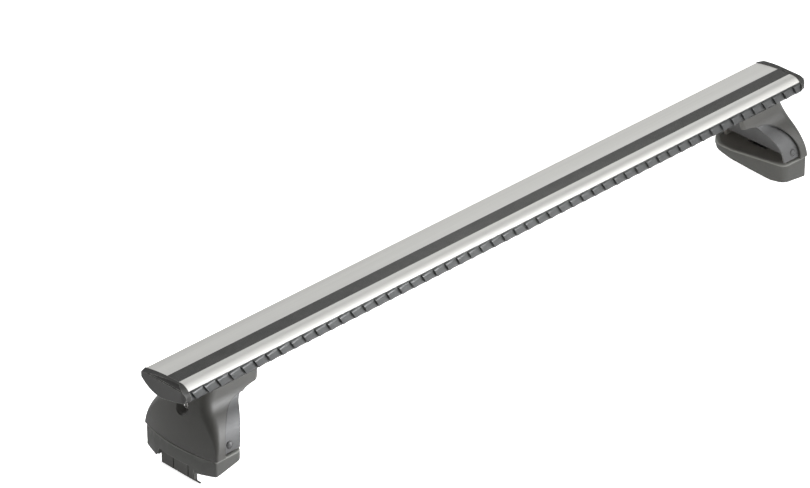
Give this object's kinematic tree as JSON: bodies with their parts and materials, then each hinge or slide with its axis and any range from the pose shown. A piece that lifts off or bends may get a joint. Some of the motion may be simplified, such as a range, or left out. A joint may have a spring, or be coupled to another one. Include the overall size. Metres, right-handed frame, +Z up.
{
  "type": "roof rack crossbar",
  "caption": "Aerofoil roof bar with T-slots and a notched nose strip, carried by two clamp feet with lockable covers, tilting rubber pads and bolt-drawn steel clamps.",
  "frame": {"origin": "under the middle of the bar, level with the lowest edges of the two clamps", "axes": "+X along the bar, -Y towards the notched leading edge, +Z up"},
  "size_m": [1.097, 0.1286, 0.142],
  "materials": {
    "bar_metal": "silver anodised, fine satin",
    "strip_rubber": "matte with fine lengthwise ribs",
    "notch_rubber": "satin",
    "cap_plastic": "fine grain",
    "tower_plastic": "fine grain",
    "cover_plastic": "fine grain, slightly satin",
    "carrier_plastic": "plain",
    "pin_plastic": "satin",
    "pad_rubber": "matte",
    "clamp_steel": "black coated",
    "guard_plastic": "satin",
    "zinc_steel": "zinc plated",
    "lock_metal": "bright nickel"
  },
  "bodies": {
    "bar": {"bar_profile": "bar_metal", "top_strip": "strip_rubber", "notched_strip": "notch_rubber", "left_end_cap": "cap_plastic", "right_end_cap": "cap_plastic"},
    "left_foot": {"left_foot_tower": "tower_plastic", "left_pivot_pins": "pin_plastic", "left_slot_nut": "zinc_steel", "left_tower_screws": "zinc_steel", "left_bolt_washer": "zinc_steel"},
    "left_cover": {"left_foot_cover": "cover_plastic"},
    "left_lock": {"left_lock_cylinder": "lock_metal", "left_lock_cam": "lock_metal"},
    "left_bolt": {"left_clamp_bolt": "zinc_steel"},
    "left_clamp": {"left_clamp_hook": "clamp_steel", "left_clamp_guard": "guard_plastic", "left_clamp_nut": "zinc_steel"},
    "left_pad": {"left_pad_carrier": "carrier_plastic", "left_foot_pad": "pad_rubber"},
    "right_foot": {"right_foot_tower": "tower_plastic", "right_pivot_pins": "pin_plastic", "right_slot_nut": "zinc_steel", "right_tower_screws": "zinc_steel", "right_bolt_washer": "zinc_steel"},
    "right_cover": {"right_foot_cover": "cover_plastic"},
    "right_lock": {"right_lock_cylinder": "lock_metal", "right_lock_cam": "lock_metal"},
    "right_bolt": {"right_clamp_bolt": "zinc_steel"},
    "right_clamp": {"right_clamp_hook": "clamp_steel", "right_clamp_guard": "guard_plastic", "right_clamp_nut": "zinc_steel"},
    "right_pad": {"right_pad_carrier": "carrier_plastic", "right_foot_pad": "pad_rubber"}
  },
  "joints": [
    {"name": "left_foot_slide", "type": "slide", "parent": "bar", "child": "left_foot", "axis": [1, 0, 0], "range_m": [0, 0.12]},
    {"name": "left_cover_slide", "type": "slide", "parent": "left_foot", "child": "left_cover", "axis": [-1, 0, 0], "range_m": [0, 0.13]},
    {"name": "left_lock_turn", "type": "hinge", "parent": "left_cover", "child": "left_lock", "pos_m": [-0.509, 0, 0.0905], "axis": [1, 0, 0], "range_deg": [0, 90]},
    {"name": "left_bolt_turn", "type": "hinge", "parent": "left_foot", "child": "left_bolt", "pos_m": [-0.5135, 0.004, 0.037], "axis": [0.2079, 0, 0.9781], "range_deg": [-2306, 0]},
    {"name": "left_clamp_slide", "type": "slide", "parent": "left_foot", "child": "left_clamp", "axis": [0.2079, 0, 0.9781], "range_m": [0, 0.008]},
    {"name": "left_pad_tilt", "type": "hinge", "parent": "left_foot", "child": "left_pad", "pos_m": [-0.5, 0, 0.056], "axis": [0, 1, 0], "range_deg": [-1.5, 1.5]},
    {"name": "right_foot_slide", "type": "slide", "parent": "bar", "child": "right_foot", "axis": [-1, 0, 0], "range_m": [0, 0.12]},
    {"name": "right_cover_slide", "type": "slide", "parent": "right_foot", "child": "right_cover", "axis": [1, 0, 0], "range_m": [0, 0.13]},
    {"name": "right_lock_turn", "type": "hinge", "parent": "right_cover", "child": "right_lock", "pos_m": [0.509, 0, 0.0905], "axis": [1, 0, 0], "range_deg": [0, 90]},
    {"name": "right_bolt_turn", "type": "hinge", "parent": "right_foot", "child": "right_bolt", "pos_m": [0.5135, 0.004, 0.037], "axis": [-0.2079, 0, 0.9781], "range_deg": [-2306, 0]},
    {"name": "right_clamp_slide", "type": "slide", "parent": "right_foot", "child": "right_clamp", "axis": [-0.2079, 0, 0.9781], "range_m": [0, 0.008]},
    {"name": "right_pad_tilt", "type": "hinge", "parent": "right_foot", "child": "right_pad", "pos_m": [0.5, 0, 0.056], "axis": [0, 1, 0], "range_deg": [-1.5, 1.5]}
  ],
  "couplings": [
    {"joint": "left_bolt_turn", "follows": "left_clamp_slide", "rad_per_m": -5026.5},
    {"joint": "right_bolt_turn", "follows": "right_clamp_slide", "rad_per_m": -5026.5}
  ]
}
